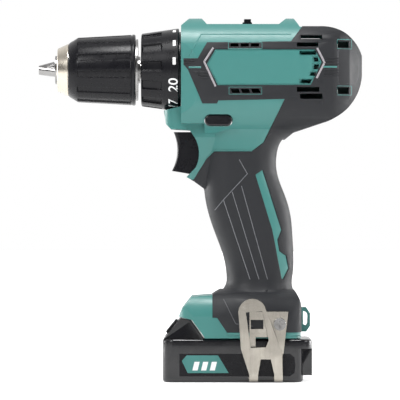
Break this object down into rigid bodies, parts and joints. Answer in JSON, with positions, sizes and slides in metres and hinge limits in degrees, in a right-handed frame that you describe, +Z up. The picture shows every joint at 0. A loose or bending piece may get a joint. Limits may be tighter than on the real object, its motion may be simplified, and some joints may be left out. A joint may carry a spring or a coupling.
{
  "type": "cordless drill",
  "caption": "Compact pistol-grip cordless drill driver with keyless chuck, clutch dial, geared motor, slide-on battery pack and belt clip",
  "frame": {"origin": "middle of the battery pack's flat base, in the split plane of the housing", "axes": "-X is the nose and the spindle's direction, +Z is up, -Y is the drill's left side with the belt clip"},
  "size_m": [0.1883, 0.0678, 0.2115],
  "materials": {
    "housing_plastic": "satin moulded nylon, teal",
    "soft_grip": "fine-textured black elastomer",
    "black_plastic": "black moulded plastic",
    "pack_plastic": "semi-gloss black plastic",
    "zinc_screw": "zinc-plated steel",
    "black_screw": "black-oxide steel",
    "clip_steel": "nickel-plated spring steel",
    "chuck_steel": "turned steel",
    "nose_metal": "pale champagne machined metal",
    "gear_steel": "sintered steel, oiled",
    "cast_case": "die-cast alloy",
    "motor_steel": "rolled steel, zinc-plated",
    "magnet": "sintered ferrite",
    "copper": "copper",
    "carbon": "pressed carbon",
    "lens_clear": "clear moulded lens",
    "board_green": "lacquered circuit board",
    "contact_metal": "tin-plated brass",
    "wire_red": "insulated wire",
    "cell_wrap": "shrink-wrapped cell"
  },
  "bodies": {
    "housing": {"left_housing": "housing_plastic", "right_housing": "housing_plastic", "left_grip": "soft_grip", "right_grip": "soft_grip", "housing_screws": "black_screw", "gear_case": "cast_case", "ring_gears": "gear_steel", "clutch_spring": "gear_steel", "motor_can": "motor_steel", "motor_magnets": "magnet", "motor_end_cap": "black_plastic", "motor_brushes": "carbon", "rotor_bearings": "chuck_steel", "spindle_bearings": "chuck_steel", "switch_body": "black_plastic", "lamp_lens": "lens_clear", "lamp_board": "board_green", "terminal_block": "black_plastic", "terminal_blades": "contact_metal", "power_leads": "wire_red", "belt_clip": "clip_steel", "clip_screw": "zinc_screw"},
    "rotor": {"rotor_shaft": "chuck_steel", "armature": "motor_steel", "commutator": "copper", "cooling_fan": "black_plastic", "motor_pinion": "gear_steel"},
    "carrier_one": {"carrier_first": "gear_steel"},
    "carrier_two": {"carrier_second": "gear_steel"},
    "spindle_assembly": {"spindle": "chuck_steel", "chuck_screw": "zinc_screw", "chuck_body": "chuck_steel", "chuck_nose_ring": "nose_metal"},
    "sleeve": {"chuck_sleeve": "black_plastic", "chuck_nut": "gear_steel"},
    "clutch_dial": {"torque_ring": "black_plastic"},
    "trigger_button": {"trigger": "black_plastic"},
    "reverser": {"reversing_lever": "black_plastic"},
    "speed_selector": {"speed_lever": "black_plastic", "shift_fork": "chuck_steel", "shifting_ring_gear": "gear_steel"},
    "battery_pack": {"battery_case": "pack_plastic", "battery_cover": "pack_plastic", "battery_cells": "cell_wrap", "battery_board": "board_green", "battery_contacts": "contact_metal", "battery_screws": "zinc_screw"},
    "release_button": {"battery_button": "black_plastic"},
    "planet_first_a_body": {"planet_first_a": "gear_steel"},
    "planet_first_b_body": {"planet_first_b": "gear_steel"},
    "planet_first_c_body": {"planet_first_c": "gear_steel"},
    "planet_second_a_body": {"planet_second_a": "gear_steel"},
    "planet_second_b_body": {"planet_second_b": "gear_steel"},
    "planet_second_c_body": {"planet_second_c": "gear_steel"},
    "planet_third_a_body": {"planet_third_a": "gear_steel"},
    "planet_third_b_body": {"planet_third_b": "gear_steel"},
    "planet_third_c_body": {"planet_third_c": "gear_steel"},
    "jaw_a_body": {"jaw_a": "chuck_steel"},
    "jaw_b_body": {"jaw_b": "chuck_steel"},
    "jaw_c_body": {"jaw_c": "chuck_steel"}
  },
  "joints": [
    {"name": "motor_spin", "type": "hinge", "parent": "housing", "child": "rotor", "pos_m": [0.03, 0, 0.1815], "axis": [1, 0, 0], "continuous": true},
    {"name": "first_stage_spin", "type": "hinge", "parent": "housing", "child": "carrier_one", "pos_m": [-0.006, 0, 0.1815], "axis": [1, 0, 0], "continuous": true},
    {"name": "planet_first_a_spin", "type": "hinge", "parent": "carrier_one", "child": "planet_first_a_body", "pos_m": [-0.003, 0, 0.1923], "axis": [1, 0, 0], "continuous": true},
    {"name": "planet_first_b_spin", "type": "hinge", "parent": "carrier_one", "child": "planet_first_b_body", "pos_m": [-0.003, -0.00935, 0.1761], "axis": [1, 0, 0], "continuous": true},
    {"name": "planet_first_c_spin", "type": "hinge", "parent": "carrier_one", "child": "planet_first_c_body", "pos_m": [-0.003, 0.00935, 0.1761], "axis": [1, 0, 0], "continuous": true},
    {"name": "second_stage_spin", "type": "hinge", "parent": "housing", "child": "carrier_two", "pos_m": [-0.0166, 0, 0.1815], "axis": [1, 0, 0], "continuous": true},
    {"name": "planet_second_a_spin", "type": "hinge", "parent": "carrier_two", "child": "planet_second_a_body", "pos_m": [-0.0136, 0, 0.1923], "axis": [1, 0, 0], "continuous": true},
    {"name": "planet_second_b_spin", "type": "hinge", "parent": "carrier_two", "child": "planet_second_b_body", "pos_m": [-0.0136, -0.00935, 0.1761], "axis": [1, 0, 0], "continuous": true},
    {"name": "planet_second_c_spin", "type": "hinge", "parent": "carrier_two", "child": "planet_second_c_body", "pos_m": [-0.0136, 0.00935, 0.1761], "axis": [1, 0, 0], "continuous": true},
    {"name": "spindle_spin", "type": "hinge", "parent": "housing", "child": "spindle_assembly", "pos_m": [-0.0272, 0, 0.1815], "axis": [1, 0, 0], "continuous": true},
    {"name": "planet_third_a_spin", "type": "hinge", "parent": "spindle_assembly", "child": "planet_third_a_body", "pos_m": [-0.0242, 0, 0.1923], "axis": [1, 0, 0], "continuous": true},
    {"name": "planet_third_b_spin", "type": "hinge", "parent": "spindle_assembly", "child": "planet_third_b_body", "pos_m": [-0.0242, -0.00935, 0.1761], "axis": [1, 0, 0], "continuous": true},
    {"name": "planet_third_c_spin", "type": "hinge", "parent": "spindle_assembly", "child": "planet_third_c_body", "pos_m": [-0.0242, 0.00935, 0.1761], "axis": [1, 0, 0], "continuous": true},
    {"name": "sleeve_turn", "type": "hinge", "parent": "spindle_assembly", "child": "sleeve", "pos_m": [-0.08, 0, 0.1815], "axis": [1, 0, 0], "range_deg": [0, 2650]},
    {"name": "jaw_a_slide", "type": "slide", "parent": "spindle_assembly", "child": "jaw_a_body", "axis": [0.9659, 0, 0.2588], "range_m": [0, 0.019]},
    {"name": "jaw_b_slide", "type": "slide", "parent": "spindle_assembly", "child": "jaw_b_body", "axis": [0.9659, -0.2241, -0.1294], "range_m": [0, 0.019]},
    {"name": "jaw_c_slide", "type": "slide", "parent": "spindle_assembly", "child": "jaw_c_body", "axis": [0.9659, 0.2241, -0.1294], "range_m": [0, 0.019]},
    {"name": "torque_ring_turn", "type": "hinge", "parent": "housing", "child": "clutch_dial", "pos_m": [-0.044, 0, 0.1815], "axis": [1, 0, 0], "range_deg": [0, 257]},
    {"name": "trigger_pull", "type": "slide", "parent": "housing", "child": "trigger_button", "axis": [1, 0, 0], "range_m": [0, 0.007], "stiffness_N_per_m": 900, "springref_m": -0.002},
    {"name": "reversing_slide", "type": "slide", "parent": "housing", "child": "reverser", "axis": [0, 1, 0], "range_m": [-0.003, 0.003]},
    {"name": "speed_slide", "type": "slide", "parent": "housing", "child": "speed_selector", "axis": [-1, 0, 0], "range_m": [0, 0.0046]},
    {"name": "battery_slide", "type": "slide", "parent": "housing", "child": "battery_pack", "axis": [-1, 0, 0], "range_m": [0, 0.085]},
    {"name": "release_press", "type": "slide", "parent": "battery_pack", "child": "release_button", "axis": [0, 0, -1], "range_m": [0, 0.0025], "stiffness_N_per_m": 900, "springref_m": -0.001}
  ],
  "couplings": [
    {"joint": "first_stage_spin", "follows": "motor_spin", "ratio": 0.27778},
    {"joint": "planet_first_a_spin", "follows": "motor_spin", "ratio": -0.90278},
    {"joint": "planet_first_b_spin", "follows": "motor_spin", "ratio": -0.90278},
    {"joint": "planet_first_c_spin", "follows": "motor_spin", "ratio": -0.90278},
    {"joint": "second_stage_spin", "follows": "motor_spin", "ratio": 0.07716},
    {"joint": "planet_second_a_spin", "follows": "motor_spin", "ratio": -0.25077},
    {"joint": "planet_second_b_spin", "follows": "motor_spin", "ratio": -0.25077},
    {"joint": "planet_second_c_spin", "follows": "motor_spin", "ratio": -0.25077},
    {"joint": "spindle_spin", "follows": "motor_spin", "ratio": 0.021433},
    {"joint": "planet_third_a_spin", "follows": "motor_spin", "ratio": -0.069659},
    {"joint": "planet_third_b_spin", "follows": "motor_spin", "ratio": -0.069659},
    {"joint": "planet_third_c_spin", "follows": "motor_spin", "ratio": -0.069659},
    {"joint": "jaw_a_slide", "follows": "sleeve_turn", "m_per_rad": 0.00041076},
    {"joint": "jaw_b_slide", "follows": "sleeve_turn", "m_per_rad": 0.00041076},
    {"joint": "jaw_c_slide", "follows": "sleeve_turn", "m_per_rad": 0.00041076}
  ]
}
